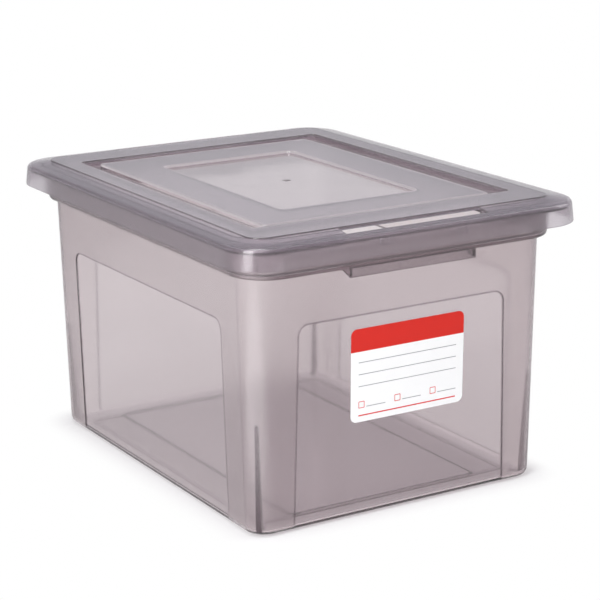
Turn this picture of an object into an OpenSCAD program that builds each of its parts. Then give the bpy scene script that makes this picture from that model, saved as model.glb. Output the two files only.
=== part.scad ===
// Portable file box: a drafted tub with built-in hanging rails, a lid with
// snap strips and a stacking recess, and an adhesive label on the front window.
// Millimetres, +Z up, the label side faces -Y, the box stands on z = 0.

/* [Overall size] */
// Width over the lid
box_w = 362; // [354:1:372]
// Length over the lid
box_l = 468; // [456:1:484]
// Height from the table to the top of the lid
box_h = 272; // [264:1:284]

/* [Lid] */
// Height of the skirt, from its lower edge to the deck
skirt_h = 23.4; // [22.4:0.5:25.4]
// Lean of the skirt, from its lower edge to its top
skirt_draft = 2.1; // [1.1:0.5:2.6]
// Corner radius of the skirt's lower edge
lid_corner_r = 40; // [36:1:44]
// Sheet thickness of the lid
lid_wall = 2.2; // [1.8:0.1:2.4]
// Width of the sloped border, from the skirt to the deck
border_w = 24.9; // [22.9:0.5:26.9]
// Fall of the sloped border towards the skirt
border_fall = 3; // [2:0.25:3.5]
// Rounding between the border and the skirt
shoulder_r = 3.5; // [2.5:0.5:4.5]
// Step from the border up to the deck
deck_step = 1; // [0.6:0.1:1.4]
// Deck width beside the stacking recess, long sides
deck_side = 20.6; // [17.6:0.5:22.6]
// Deck width beside the stacking recess, short ends
deck_end = 37.8; // [34.8:0.5:40.8]
// Depth of the stacking groove below the deck
groove_depth = 7; // [5:0.5:7.5]
// Groove width along the long sides
groove_side = 16.7; // [13.7:0.5:18.7]
// Groove width along the short ends
groove_end = 9.3; // [7.3:0.5:11.3]
// Drop of the centre panel below the deck
panel_drop = 1.9; // [1.4:0.1:2.3]
// Width of the clear lid window
lid_window_w = 146.8; // [136.8:2:156.8]
// Length of the clear lid window
lid_window_l = 231.6; // [221.6:2:241.6]
// Depth of the clear lid window
lid_window_drop = 2.9; // [2.4:0.1:3.1]

/* [Snap strips] */
// Length of the slot that frees each snap strip
slot_l = 148; // [138:2:156]
// Width of that slot
slot_w = 14.5; // [12.5:0.5:15.5]
// Distance from the middle to the centre of each catch lug
lug_x = 40; // [36:1:44]
// Length of each catch lug
lug_l = 9; // [7:0.5:11]

/* [Tub] */
// Overhang of the lid past the rim lip, long sides
overhang_side = 17; // [16:0.5:18]
// Overhang of the lid past the rim lip, short ends
overhang_end = 18.7; // [17.7:0.5:19.7]
// Step from the wall out to the rim lip, long sides
step_side = 7.1; // [6.6:0.5:8.6]
// Step from the wall out to the rim lip, short ends
step_end = 13.2; // [12.2:0.5:14.2]
// Drop of the rim shelf below the lid's skirt
shelf_drop = 13.3; // [12.3:0.5:15.3]
// Outward lean of each wall over the tub's height
wall_draft = 5; // [4:0.5:6]
// Corner radius at the bottom of the tub
tub_corner_r = 20; // [18:1:24]
// Rounding between the walls and the underside
bottom_r = 8; // [6:0.5:9]
// Sheet thickness of the tub
tub_wall = 2.6; // [2.2:0.1:2.8]
// Height of the hanging rails above the shelf
rail_h = 12.5; // [10.5:0.5:13.5]

/* [Window panels of the tub] */
// Width of the end windows at their top
end_window_w = 216.2; // [206.2:2:222.2]
// Width of the side windows at their top
side_window_w = 294; // [284:2:300]
// Growth of the end windows' width down to the bottom edge
end_flare = 9; // [6:1:10]
// Growth of the side windows' width down to the bottom edge
side_flare = 2; // [0:1:8]
// Distance from the rim shelf down to the windows' top edge
window_drop = 47; // [43:1:51]
// Recess of the windows in the walls
window_recess = 1; // [0.7:0.1:1.2]
// Corner radius at the windows' top
window_r = 10; // [7:1:14]

/* [Grips] */
// Width of each grip tab
grip_w = 131; // [121:2:141]
// Depth of each grip tab below the shelf
grip_drop = 7.6; // [6.6:0.5:9.6]
// Rise of the grip's end webs towards the wall
grip_rise = 4.5; // [3:0.5:5.5]

/* [Label] */
// Width of the label
label_w = 120; // [110:2:128]
// Height of the label
label_h = 86; // [78:2:90]
// Sideways place of the label's centre
label_x = 5; // [0:1:8]
// Distance from the front window's top edge down to the label
label_drop = 12.5; // [8.5:0.5:18.5]
// Corner radius of the label
label_r = 6; // [3:1:8]
// Thickness of the label
label_t = 0.3; // [0.2:0.1:0.5]

/* [Underside] */
// Height of the stacking ridge the box stands on
foot_h = 1.5; // [1:0.1:1.7]
// Sideways play of the ridge in the lid's stacking recess
foot_play = 1.5; // [1:0.25:2.5]
// Margin between the walls and the floor's raised panel, long sides
floor_margin_side = 53; // [47:1:59]
// Margin between the walls and the floor's raised panel, short ends
floor_margin_end = 28; // [24:1:32]

/* [Hidden] */
$fn = 48;

// Play between the lid's locating rib and the rim lip
lip_play = 0.8;
// Gap between the rim flange and the inside of the skirt
flange_gap = 1.6;
// Gap between each lug and the edge of the rim flange
lug_gap = 0.3;
// Fall of the border's underside past its inner bend
inner_bend = 1.5;
// Rib thickness used inside the lid
rib_t = 1.6;
// Depth of the lid's locating rib below the rim
rib_drop = 8;
// Distance from the lip out to the lid's seat rib, long sides and short ends
seat_out_side = 4.5;
seat_out_end = 5.5;
// Catch lugs: drop below the flange, height, and the two ribs at their ends,
// which stop short of the skirt's outer face
lug_drop = 1;
lug_h = 4;
lug_rib_t = 1.2;
lug_rib_h = 7;
lug_rib_short = 0.6;
// Gate mark in the lid window: radius, radius of its pip, depth
gate_r = 4;
gate_pip_r = 1.3;
gate_depth = 0.5;
// Overlap that joins one form to the next
lap = 0.4;

// Lid, half sizes and heights
lid_x = box_w / 2;
lid_y = box_l / 2;
skirt_z = box_h - skirt_h;
deck_x = lid_x - border_w;
deck_y = lid_y - border_w;
deck_r = lid_corner_r - border_w;
border_in_z = box_h - deck_step;
border_out_z = border_in_z - border_fall;
lid_cx = lid_x - lid_corner_r;
lid_cy = lid_y - lid_corner_r;
recess_x = deck_x - deck_side;
recess_y = deck_y - deck_end;
recess_r = 4;
groove_z = box_h - groove_depth;
panel_x = recess_x - groove_side;
panel_y = recess_y - groove_end;
panel_r = 3;
lid_win_r = 8;
panel_z = box_h - panel_drop;
window_z = panel_z - lid_window_drop;
lid_win_x = lid_window_w / 2;
lid_win_y = lid_window_l / 2;
skirt_in = skirt_draft + lid_wall;

// Rim of the tub, half sizes and heights
lip_x = lid_x - overhang_side;
lip_y = lid_y - overhang_end;
lip_r = 37;
lip_turn = 4.5;
shelf_z = skirt_z - shelf_drop;
flange_z = border_out_z - lid_wall - inner_bend;
flange_x = lid_x - skirt_in - flange_gap;
flange_y = lid_y - skirt_in - flange_gap;
flange_r = lid_corner_r - skirt_in - flange_gap;

// Walls of the tub, half sizes
wall_top_x = lip_x - step_side;
wall_top_y = lip_y - step_end;
wall_low_x = wall_top_x - wall_draft;
wall_low_y = wall_top_y - wall_draft;
tub_cx = wall_low_x - tub_corner_r;
tub_cy = wall_low_y - tub_corner_r;
wall_h = shelf_z - foot_h;
wall_slope = wall_draft / wall_h;
wall_angle = atan(wall_slope);

// Floor of the tub
floor_top = foot_h + tub_wall;
floor_panel_x = wall_low_x - floor_margin_side;
floor_panel_y = wall_low_y - floor_margin_end;
floor_panel_r = 8;
floor_rise = 1.5;
foot_x = recess_x - foot_play;
foot_y = recess_y - foot_play;
foot_w = 3;
foot_r = 6;

// Upright ribs in the inner corners, thinner towards their tips, and webs across the rim's channel
rib_w = 4.4;
rib_tip_w = 2.4;
rib_top = 103;
web_w = 2.4;
web_reach = 9;
web_h = 14;

// Ends of the rails, short of the corners, and the grip tabs' stand-off from the lip
rail_margin = 36;
grip_out = 0.6;

window_top = shelf_z - window_drop;
window_h = window_top - foot_h;
label_z = window_top - label_drop - label_h / 2;

// Rounded rectangle given by half sizes
module round_rect(hx, hy, r) {
    square([2 * hx, 2 * (hy - r)], center = true);
    square([2 * (hx - r), 2 * hy], center = true);
    for (sx = [-1, 1]) {
        for (sy = [-1, 1]) {
            translate([sx * (hx - r), sy * (hy - r)])
                circle(r = r);
        }
    }
}

// Plate with rounded corners between two heights
module slab(hx, hy, r, z0, z1) {
    translate([0, 0, z0])
        linear_extrude(height = z1 - z0)
            round_rect(hx, hy, r);
}

// Upright frame with rounded corners, its wall t thick
module frame(hx, hy, r, t, z0, z1) {
    translate([0, 0, z0])
        linear_extrude(height = z1 - z0)
            difference() {
                round_rect(hx, hy, r);
                round_rect(hx - t, hy - t, r - t);
            }
}

// Runs a cross-section round four sides and four corners.
// The section's x is the distance out from the corner centre, its y is height.
module run_round(cx, cy, section) {
    for (s = [0, 1]) {
        mirror([s, 0, 0]) {
            translate([cx, cy, 0])
                rotate([90, 0, 0])
                    linear_extrude(height = 2 * cy)
                        polygon(section);
            translate([cx, cy, 0])
                rotate_extrude(angle = 90)
                    polygon(section);
            translate([cx, -cy, 0])
                rotate([0, 0, -90])
                    rotate_extrude(angle = 90)
                        polygon(section);
        }
        mirror([0, s, 0])
            translate([-cx, cy, 0])
                rotate([90, 0, 90])
                    linear_extrude(height = 2 * cx)
                        polygon(section);
    }
}

// Points of an arc, centre (x, y), from angle a0 to a1
function arc_points(x, y, r, a0, a1, n) =
    [for (i = [0:n]) [x + r * cos(a0 + (a1 - a0) * i / n), y + r * sin(a0 + (a1 - a0) * i / n)]];

// Outer distance of the wall from its corner centre at height z
function wall_u(z) = tub_corner_r + wall_slope * (z - foot_h);

// Wall of the tub: rounded foot, drafted side, up to the shelf
wall_section = concat(
    [[tub_corner_r - bottom_r - lap, floor_top], [tub_corner_r - bottom_r - lap, foot_h]],
    arc_points(tub_corner_r - bottom_r, foot_h + bottom_r, bottom_r, -90, 0, 6),
    [[wall_u(shelf_z + tub_wall), shelf_z + tub_wall]],
    [[wall_u(shelf_z + tub_wall) - tub_wall, shelf_z + tub_wall]],
    arc_points(tub_corner_r - bottom_r, foot_h + bottom_r, bottom_r - tub_wall, 0, -90, 6)
);

// Lip of the tub's rim: shelf edge, rounded turn and upright band
lip_section = concat(
    [[lip_r - lip_turn - 2, shelf_z + tub_wall], [lip_r - lip_turn - 2, shelf_z]],
    arc_points(lip_r - lip_turn, shelf_z + lip_turn, lip_turn, -90, 0, 5),
    [[lip_r, flange_z], [lip_r - tub_wall, flange_z]],
    arc_points(lip_r - lip_turn, shelf_z + lip_turn, lip_turn - tub_wall, 0, -90, 4)
);

// Window panel outline on a wall, hw is half its width at the top
module window_shape(hw, flare) {
    low = hw + flare / 2;
    lean = atan((low - hw) / window_h);
    cx = hw - window_r;
    cz = window_h - window_r;
    polygon([
        [-low, -20], [low, -20], [low, 0],
        [cx + window_r * cos(lean), cz + window_r * sin(lean)],
        [cx, cz + window_r],
        [-cx, cz + window_r],
        [-cx - window_r * cos(lean), cz + window_r * sin(lean)],
        [-low, 0]
    ]);
    for (s = [-1, 1]) {
        translate([s * cx, cz])
            circle(r = window_r);
    }
}

// Recess that leaves the posts standing proud of a clear window panel
module window_cut(half_depth, hw, flare) {
    translate([0, -half_depth, foot_h])
        rotate([90 + wall_angle, 0, 0])
            translate([0, 0, -window_recess])
                linear_extrude(height = 12)
                    window_shape(hw, flare);
}

// Deeper part of the lip that is pulled on at each end, closed by two webs
module grip_tab() {
    low_z = shelf_z - grip_drop;
    translate([-grip_w / 2, -lip_y - grip_out, low_z])
        cube([grip_w, tub_wall, flange_z - tub_wall + lap - low_z]);
    for (s = [0, 1]) {
        mirror([s, 0, 0])
            translate([grip_w / 2 - tub_wall, 0, 0])
                rotate([90, 0, 90])
                    linear_extrude(height = tub_wall)
                        polygon([
                            [-lip_y - grip_out, low_z],
                            [-wall_top_y + 1, low_z + grip_rise],
                            [-wall_top_y + 1, shelf_z + lap],
                            [-lip_y - grip_out, shelf_z + lap]
                        ]);
    }
}

// Rail that hanging folders hook over
module rail(x, half_len, t) {
    translate([x - t, -half_len, shelf_z + tub_wall - lap])
        cube([t, 2 * half_len, rail_h + lap]);
}

// Upright rib in each inner corner, deeper and thicker towards the floor
module corner_rib() {
    translate([tub_cx, tub_cy, 0])
        rotate([0, 0, 45])
            intersection() {
                translate([0, rib_w / 2, 0])
                    rotate([90, 0, 0])
                        linear_extrude(height = rib_w)
                            polygon(concat(
                                [[tub_corner_r - bottom_r - 1, floor_top - lap]],
                                arc_points(
                                    tub_corner_r - bottom_r,
                                    foot_h + bottom_r,
                                    bottom_r - tub_wall / 2,
                                    -80,
                                    0,
                                    4
                                ),
                                [[wall_u(rib_top) - tub_wall / 2, rib_top]],
                                [[wall_u(rib_top) - tub_wall - 2, rib_top]]
                            ));
                // draft of the rib's two faces
                rotate([90, 0, 90])
                    linear_extrude(height = tub_corner_r + wall_draft)
                        polygon([
                            [-rib_w / 2, 0],
                            [rib_w / 2, 0],
                            [rib_tip_w / 2, rib_top + 1],
                            [-rib_tip_w / 2, rib_top + 1]
                        ]);
            }
}

// Web across the channel behind the lip, one at each corner
module corner_web() {
    translate([lip_x - lip_r, lip_y - lip_r, shelf_z + tub_wall - lap])
        rotate([0, 0, 45])
            translate([lip_r - web_reach, -web_w / 2, 0])
                cube([web_reach - tub_wall + lap, web_w, web_h]);
}

module tub() {
    color([0.63, 0.58, 0.62])
        difference() {
            union() {
                // drafted walls
                run_round(tub_cx, tub_cy, wall_section);
                // floor with its raised centre panel
                difference() {
                    slab(
                        wall_low_x - bottom_r,
                        wall_low_y - bottom_r,
                        tub_corner_r - bottom_r,
                        foot_h,
                        floor_top
                    );
                    slab(floor_panel_x, floor_panel_y, floor_panel_r, foot_h - 1, foot_h + floor_rise);
                }
                slab(
                    floor_panel_x + tub_wall,
                    floor_panel_y + tub_wall,
                    floor_panel_r + tub_wall,
                    foot_h + floor_rise,
                    floor_top + floor_rise
                );
                // stacking ridge under the floor
                frame(foot_x, foot_y, foot_r, foot_w, 0, foot_h + floor_rise + lap);
                // shelf between the walls and the lip
                difference() {
                    slab(lip_x - lip_turn, lip_y - lip_turn, lip_r - lip_turn, shelf_z, shelf_z + tub_wall);
                    slab(
                        wall_top_x - tub_wall / 2,
                        wall_top_y - tub_wall / 2,
                        wall_u(shelf_z) - tub_wall / 2,
                        shelf_z - 1,
                        shelf_z + tub_wall + 1
                    );
                }
                // lip and the flange the lid seats on
                run_round(lip_x - lip_r, lip_y - lip_r, lip_section);
                translate([0, 0, flange_z - tub_wall])
                    linear_extrude(height = tub_wall)
                        difference() {
                            round_rect(flange_x, flange_y, flange_r);
                            round_rect(lip_x - tub_wall, lip_y - tub_wall, lip_r - tub_wall);
                        }
                // rails for letter folders along the sides, for legal folders at the ends
                for (s = [0, 1]) {
                    mirror([s, 0, 0])
                        rail(wall_top_x, wall_top_y - rail_margin, tub_wall);
                    mirror([0, s, 0])
                        rotate([0, 0, 90])
                            rail(wall_top_y, wall_top_x - rail_margin, tub_wall);
                }
                // grip tabs at both ends
                for (s = [0, 1]) {
                    mirror([0, s, 0])
                        grip_tab();
                }
                for (sx = [0, 1]) {
                    for (sy = [0, 1]) {
                        mirror([sx, 0, 0])
                            mirror([0, sy, 0]) {
                                corner_rib();
                                corner_web();
                            }
                    }
                }
            }
            // window panels, two ends and two sides
            for (s = [0, 1]) {
                mirror([0, s, 0])
                    window_cut(wall_low_y, end_window_w / 2, end_flare);
                rotate([0, 0, 90])
                    mirror([0, s, 0])
                        window_cut(wall_low_x, side_window_w / 2, side_flare);
            }
        }
}

// Lid from the skirt's lower edge over the shoulder to the deck
border_section = concat(
    [[lid_corner_r, skirt_z]],
    [[lid_corner_r - skirt_draft, border_out_z - shoulder_r]],
    arc_points(
        lid_corner_r - skirt_draft - shoulder_r,
        border_out_z - shoulder_r,
        shoulder_r,
        15,
        80,
        5
    ),
    [[deck_r, border_in_z], [deck_r, border_in_z - lid_wall]],
    [[lid_corner_r - skirt_in - inner_bend, border_out_z - lid_wall]],
    [[lid_corner_r - skirt_in, border_out_z - lid_wall - inner_bend]],
    [[lid_corner_r - lid_wall, skirt_z]]
);

// Catch lug and its two stiffening ribs inside the skirt
module lug() {
    lug_z = flange_z - tub_wall - lug_drop;
    reach = flange_gap - lug_gap + lid_wall;
    translate([lug_x - lug_l / 2, flange_y + lug_gap, lug_z - lug_h])
        cube([lug_l, reach, lug_h]);
    for (dx = [-lug_l / 2, lug_l / 2 - lug_rib_t]) {
        translate([lug_x + dx, flange_y + lug_gap, lug_z - lug_h])
            cube([lug_rib_t, reach - lug_rib_short, lug_rib_h]);
    }
}

module lid() {
    color([0.56, 0.52, 0.57])
        difference() {
            union() {
                run_round(lid_cx, lid_cy, border_section);
                // deck, stacking groove and centre panel
                difference() {
                    union() {
                        slab(deck_x, deck_y, deck_r, box_h - lid_wall, box_h);
                        slab(
                            recess_x + lid_wall,
                            recess_y + lid_wall,
                            recess_r + lid_wall,
                            groove_z - lid_wall,
                            box_h - lap
                        );
                    }
                    slab(recess_x, recess_y, recess_r, groove_z, box_h + 1);
                    slab(
                        panel_x - lid_wall,
                        panel_y - lid_wall,
                        panel_r,
                        groove_z - lid_wall - 1,
                        box_h
                    );
                }
                difference() {
                    slab(panel_x, panel_y, panel_r, groove_z - lid_wall, panel_z);
                    slab(
                        panel_x - lid_wall,
                        panel_y - lid_wall,
                        panel_r,
                        groove_z - lid_wall - 1,
                        panel_z - lid_wall
                    );
                }
                slab(
                    lid_win_x + lid_wall,
                    lid_win_y + lid_wall,
                    lid_win_r + lid_wall,
                    window_z - lid_wall,
                    panel_z - lap
                );
                // upright joint between the border and the deck
                frame(
                    deck_x + lap,
                    deck_y + lap,
                    deck_r + lap,
                    lid_wall,
                    border_in_z - lid_wall,
                    border_in_z
                );
                // locating rib inside the lip and seat rib on the flange
                frame(
                    lip_x - tub_wall - lip_play,
                    lip_y - tub_wall - lip_play,
                    lip_r - tub_wall - lip_play,
                    rib_t,
                    flange_z - rib_drop,
                    border_in_z - lid_wall + lap
                );
                frame(
                    lip_x + seat_out_side,
                    lip_y + seat_out_end,
                    lip_r + seat_out_side,
                    rib_t,
                    flange_z,
                    border_out_z
                );
                for (sx = [0, 1]) {
                    for (sy = [0, 1]) {
                        mirror([sx, 0, 0])
                            mirror([0, sy, 0])
                                lug();
                    }
                }
            }
            // clear window and its gate mark
            slab(lid_win_x, lid_win_y, lid_win_r, window_z, box_h);
            translate([0, 0, window_z - gate_depth])
                difference() {
                    cylinder(r = gate_r, h = lid_wall);
                    cylinder(r = gate_pip_r, h = gate_depth + lap);
                }
            // slots that free the snap strips
            for (s = [0, 1]) {
                mirror([0, s, 0])
                    translate([-slot_l / 2, deck_y, flange_z - rib_drop - 1])
                        cube([slot_l, slot_w, rib_drop + shoulder_r + 10]);
            }
        }
}

// Adhesive label, lying on the drafted front window
module label() {
    color([0.96, 0.96, 0.95])
        translate([label_x, -wall_low_y - wall_slope * (label_z - foot_h), label_z])
            rotate([90 + wall_angle, 0, 0])
                translate([0, 0, -window_recess])
                    linear_extrude(height = label_t)
                        round_rect(label_w / 2, label_h / 2, label_r);
}

tub();
lid();
label();
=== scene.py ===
import math

import bmesh
import bpy
from mathutils import Matrix, Vector


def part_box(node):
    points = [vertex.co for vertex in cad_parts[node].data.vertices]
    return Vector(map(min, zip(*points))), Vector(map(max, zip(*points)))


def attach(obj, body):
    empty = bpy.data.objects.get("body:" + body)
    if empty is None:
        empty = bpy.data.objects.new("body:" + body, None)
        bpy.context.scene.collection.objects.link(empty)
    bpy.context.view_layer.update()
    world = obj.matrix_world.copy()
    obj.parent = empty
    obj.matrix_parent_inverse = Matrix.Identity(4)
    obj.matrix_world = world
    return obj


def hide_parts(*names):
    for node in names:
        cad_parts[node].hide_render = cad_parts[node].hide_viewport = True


# A portable file box: a smoke-tinted translucent tub, its loose lid and an adhesive label.
# Profiles are in millimetres, seen from above and in section. Meshes are in metres, +Z up.
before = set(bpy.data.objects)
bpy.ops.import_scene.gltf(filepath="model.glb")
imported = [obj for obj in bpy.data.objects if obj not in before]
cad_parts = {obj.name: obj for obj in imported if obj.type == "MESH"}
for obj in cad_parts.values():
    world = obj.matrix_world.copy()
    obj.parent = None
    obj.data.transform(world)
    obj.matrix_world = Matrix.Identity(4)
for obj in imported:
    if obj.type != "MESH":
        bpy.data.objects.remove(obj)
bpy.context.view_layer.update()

# ---------------------------------------------------------------------------
# Tub walls, floor and rim
# One injection moulding in smoke-tinted polypropylene, 2.6 mm thick. Its walls lean out so that it
# leaves the mould and nests. A shelf, an upright lip and an outward flange stiffen its rim, and the
# lid rests on the flange.
# ---------------------------------------------------------------------------
MM = 0.001
CORNER_STEPS = 14

tub_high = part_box("tub")[1]
lid_low, lid_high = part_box("lid")

# A plan is the half width, the half length and the corner radius of a rounded rectangle.
tub_wall = 2.6
flange_z = tub_high.z / MM
flange = (tub_high.x / MM, tub_high.y / MM, 34.1)
flange_side, flange_end = 11.1, 12.8
lip = (flange[0] - flange_side, flange[1] - flange_end, 37.0)
lip_x, lip_y, lip_r = lip
lip_round = 4.5
rim_edge, flange_edge = 1.2, 0.7

shelf_drop = 13.3
shelf_z = lid_low.z / MM - shelf_drop
shelf_top = shelf_z + tub_wall
shelf_side, shelf_end = 12.1, 18.2
wall_x, wall_y, wall_r = lip_x - shelf_side, lip_y - shelf_end, 20.0
wall_lean = 5.0

foot_z = 1.5
foot_round, inner_foot_round = 8, 5.4
floor_top = foot_z + tub_wall
panel_side, panel_end = 53, 28
floor_panel = (wall_x - panel_side, wall_y - panel_end, 8.0)
floor_panel_rise, floor_panel_draft = 1.5, 0.3
edge = 0.8


def loop(half_x, half_y, corner, z):
    """Points round a rounded rectangle at one height, anticlockwise from its +X side."""
    points = []
    for quarter, (side_x, side_y) in enumerate(((1, 1), (-1, 1), (-1, -1), (1, -1))):
        for step in range(CORNER_STEPS + 1):
            angle = math.pi / 2 * (quarter + step / CORNER_STEPS)
            points.append((
                side_x * (half_x - corner) + corner * math.cos(angle),
                side_y * (half_y - corner) + corner * math.sin(angle),
                z,
            ))
    return points


def soften(path):
    """A moulding's profile with its edges rounded: each entry is a plan, its height and its rounding.
    An entry without a rounding only divides a flat face."""
    longest_share = 0.48
    loops = []
    for here, entry in enumerate(path):
        point, rounding = Vector(entry[:4]), entry[4]
        if rounding == 0:
            loops.append(point)
            continue
        sides = []
        for other in (path[here - 1], path[here + 1]):
            way = Vector(other[:4]) - point
            length = math.hypot(max(abs(way[0]), abs(way[1])), way[3])
            sides.append(point + way * min(rounding / length, longest_share))
        steps = 8 if rounding > 2 else 4
        for step in range(steps + 1):
            t = step / steps
            loops.append(sides[0] * (1 - t) ** 2 + point * 2 * t * (1 - t) + sides[1] * t ** 2)
    return loops


def clean(mesh):
    """Merges doubled points and turns every face outwards."""
    shape = bmesh.new()
    shape.from_mesh(mesh)
    bmesh.ops.remove_doubles(shape, verts=shape.verts, dist=1e-7)
    bmesh.ops.recalc_face_normals(shape, faces=shape.faces)
    shape.to_mesh(mesh)
    shape.free()


def make_piece(name, points=(), faces=()):
    """A new object from points in millimetres, with its faces turned outwards."""
    mesh = bpy.data.meshes.new(name)
    mesh.from_pydata([Vector(p) * MM for p in points], [], faces)
    clean(mesh)
    piece = bpy.data.objects.new(name, mesh)
    bpy.context.scene.collection.objects.link(piece)
    return piece


def loft(name, rings):
    """A closed skin over rings of points that all have the same count, with flat ends."""
    count = len(rings[0])
    points = [p for ring in rings for p in ring]
    faces = [list(range(count)), list(range(len(points) - count, len(points)))]
    for low in range(0, len(points) - count, count):
        for j in range(count):
            k = (j + 1) % count
            faces.append([low + j, low + k, low + count + k, low + count + j])
    return make_piece(name, points, faces)


def inset(plan, inwards):
    """A plan moved in by the same amount all round, or out where the amount is negative."""
    return tuple(size - inwards for size in plan)


def wall_at(z, inwards=0.0):
    """Plan of the leaning wall at a height, moved in from its outer face."""
    lean = wall_lean * (z - foot_z) / (shelf_z - foot_z)
    return inset((wall_x + lean, wall_y + lean, wall_r + lean), inwards)


tub_path = [
    (*inset(floor_panel, 4), foot_z + floor_panel_rise, 0),
    (*floor_panel, foot_z + floor_panel_rise, edge),
    (*inset(floor_panel, -floor_panel_draft), foot_z, edge),
    (*wall_at(foot_z, 12), foot_z, 0),
    (*wall_at(foot_z), foot_z, foot_round),
    (*wall_at(shelf_z), shelf_z, edge),
    (*inset(lip, 5), shelf_z, 0),
    (*lip, shelf_z, lip_round),
    (*lip, flange_z - tub_wall, rim_edge),
    (*flange, flange_z - tub_wall, flange_edge),
    (*flange, flange_z, flange_edge),
    (*inset(lip, tub_wall), flange_z, rim_edge),
    (*inset(lip, tub_wall), shelf_top, 2),
    (*wall_at(shelf_top, tub_wall), shelf_top, rim_edge),
    (*wall_at(floor_top, tub_wall), floor_top, inner_foot_round),
    (*wall_at(floor_top, tub_wall + 9), floor_top, 0),
    (*inset(floor_panel, -tub_wall), floor_top, edge),
    (*inset(floor_panel, floor_panel_draft - tub_wall), floor_top + floor_panel_rise, edge),
    (*inset(floor_panel, 2), floor_top + floor_panel_rise, 0),
]
tub = loft("tub_moulding", [loop(*ring) for ring in soften(tub_path)])

# ---------------------------------------------------------------------------
# Smoke-tinted plastic
# Clear polypropylene with a little smoke pigment, moulded into the tub and the lid. The mould is
# spark-eroded where the box is frosted, and polished at the windows, on the floor and in the lid's
# groove.
# ---------------------------------------------------------------------------
frosted_rough, polished_rough, rough_variation = 0.2, 0.06, 0.05
grain_scale, grain_height = 0.9, 0.004
wave_scale, wave_height = 0.016, 0.25
plastic_ior, plastic_clearness = 1.49, 0.96
smoke_colour = (0.57, 0.46, 0.50)
# Painted shade: the darker colour given to the corner ribs, the window steps, the rim and the deck step.
painted_shade_tint = (0.4, 0.35, 0.38)
# Painted glow: an emission colour given to the tub's foot and to the lid's sheet edges.
painted_glow_colour = (0.32, 0.30, 0.31)
passed_by_faces = 0.92

window_top, window_r = shelf_z - 47.0, 10.0
end_window_x, end_window_flare = 108.1, 9.0
side_window_y, side_window_flare = 147.0, 2.0
rib_foot, rib_tip, corner_rib_top = 4.4, 2.4, 103


def node_in(tree, kind, feeds=None, **settings):
    """A new node: its settings by name, and what feeds its inputs, each a socket or a plain value."""
    node = tree.nodes.new(kind)
    for setting, value in settings.items():
        setattr(node, setting, value)
    for name, feed in (feeds or {}).items():
        if isinstance(feed, bpy.types.NodeSocket):
            tree.links.new(feed, node.inputs[name])
        else:
            node.inputs[name].default_value = feed
    return node


def maths(tree, operation, *values):
    """The result of a math node on sockets or plain numbers."""
    return node_in(tree, "ShaderNodeMath", dict(enumerate(values)), operation=operation).outputs[0]


def noise(tree, place, scale, detail):
    """A cloudy pattern between 0 and 1 that stays put on the piece."""
    feeds = {"Vector": place, "Scale": scale, "Detail": detail}
    return node_in(tree, "ShaderNodeTexNoise", feeds).outputs[0]


def map_range(tree, value, start, end, low, high):
    """A value mapped from start and end to low and high, and kept between them."""
    return node_in(tree, "ShaderNodeMapRange", {
        "Value": value, "From Min": start, "From Max": end, "To Min": low, "To Max": high,
    }).outputs[0]


def named_group(kind, name, takes, gives):
    """An empty node group with named sockets, and what its group input gives."""
    group = bpy.data.node_groups.new(name, kind)
    for way, sockets in (("INPUT", takes), ("OUTPUT", gives)):
        for socket, sort in sockets.items():
            group.interface.new_socket(socket, in_out=way, socket_type="NodeSocket" + sort)
    return group, node_in(group, "NodeGroupInput").outputs


def make_mask_group():
    """1 inside a rounded rectangle round zero and 0 outside, with a soft edge that is Blur wide."""
    takes = ("Across", "Along", "Half Width", "Half Length", "Corner", "Blur")
    group, given = named_group(
        "ShaderNodeTree", "rounded_mask", dict.fromkeys(takes, "Float"), {"Mask": "Float"}
    )
    beyond = []
    for place, half in (("Across", "Half Width"), ("Along", "Half Length")):
        straight = maths(group, "SUBTRACT", given[half], given["Corner"])
        beyond.append(maths(group, "SUBTRACT", maths(group, "ABSOLUTE", given[place]), straight))
    corner = node_in(group, "ShaderNodeCombineXYZ", {
        "X": maths(group, "MAXIMUM", beyond[0], 0), "Y": maths(group, "MAXIMUM", beyond[1], 0),
    })
    past = node_in(group, "ShaderNodeVectorMath", {0: corner.outputs[0]}, operation="LENGTH")
    short = maths(group, "MINIMUM", maths(group, "MAXIMUM", *beyond), 0)
    outside = maths(group, "SUBTRACT", maths(group, "ADD", past.outputs["Value"], short), given["Corner"])
    share = maths(group, "DIVIDE", outside, given["Blur"])
    mask = node_in(group, "ShaderNodeMapRange", {
        "Value": share, "From Min": -0.5, "From Max": 0.5, "To Min": 1, "To Max": 0,
    }, interpolation_type="SMOOTHSTEP")
    node_in(group, "NodeGroupOutput", {"Mask": mask.outputs[0]})
    return group


def make_surface_group():
    """A moulded surface: spark-eroded grain where it is frosted, faint waves where it is polished."""
    group, given = named_group(
        "ShaderNodeTree", "moulded_surface",
        {
            "Place": "Vector", "Polished": "Float",
            "Frosted Roughness": "Float", "Polished Roughness": "Float",
        },
        {"Roughness": "Float", "Normal": "Vector"},
    )
    grain = noise(group, given["Place"], grain_scale, 3)
    waves = noise(group, given["Place"], wave_scale, 1)
    frost = maths(group, "SUBTRACT", 1, given["Polished"])
    speckle = maths(group, "SUBTRACT", grain, 0.5)
    uneven = maths(group, "MULTIPLY_ADD", speckle, rough_variation, given["Frosted Roughness"])
    rough = node_in(group, "ShaderNodeMix", {
        "Factor": given["Polished"], "A": uneven, "B": given["Polished Roughness"],
    })
    low_waves = maths(group, "MULTIPLY", waves, wave_height)
    height = maths(group, "MULTIPLY_ADD", maths(group, "MULTIPLY", grain, frost), grain_height, low_waves)
    bump = node_in(group, "ShaderNodeBump", {"Height": height, "Distance": MM, "Strength": 1})
    node_in(group, "NodeGroupOutput", {"Roughness": rough.outputs[0], "Normal": bump.outputs[0]})
    return group


mask_group, surface_group = make_mask_group(), make_surface_group()


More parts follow.
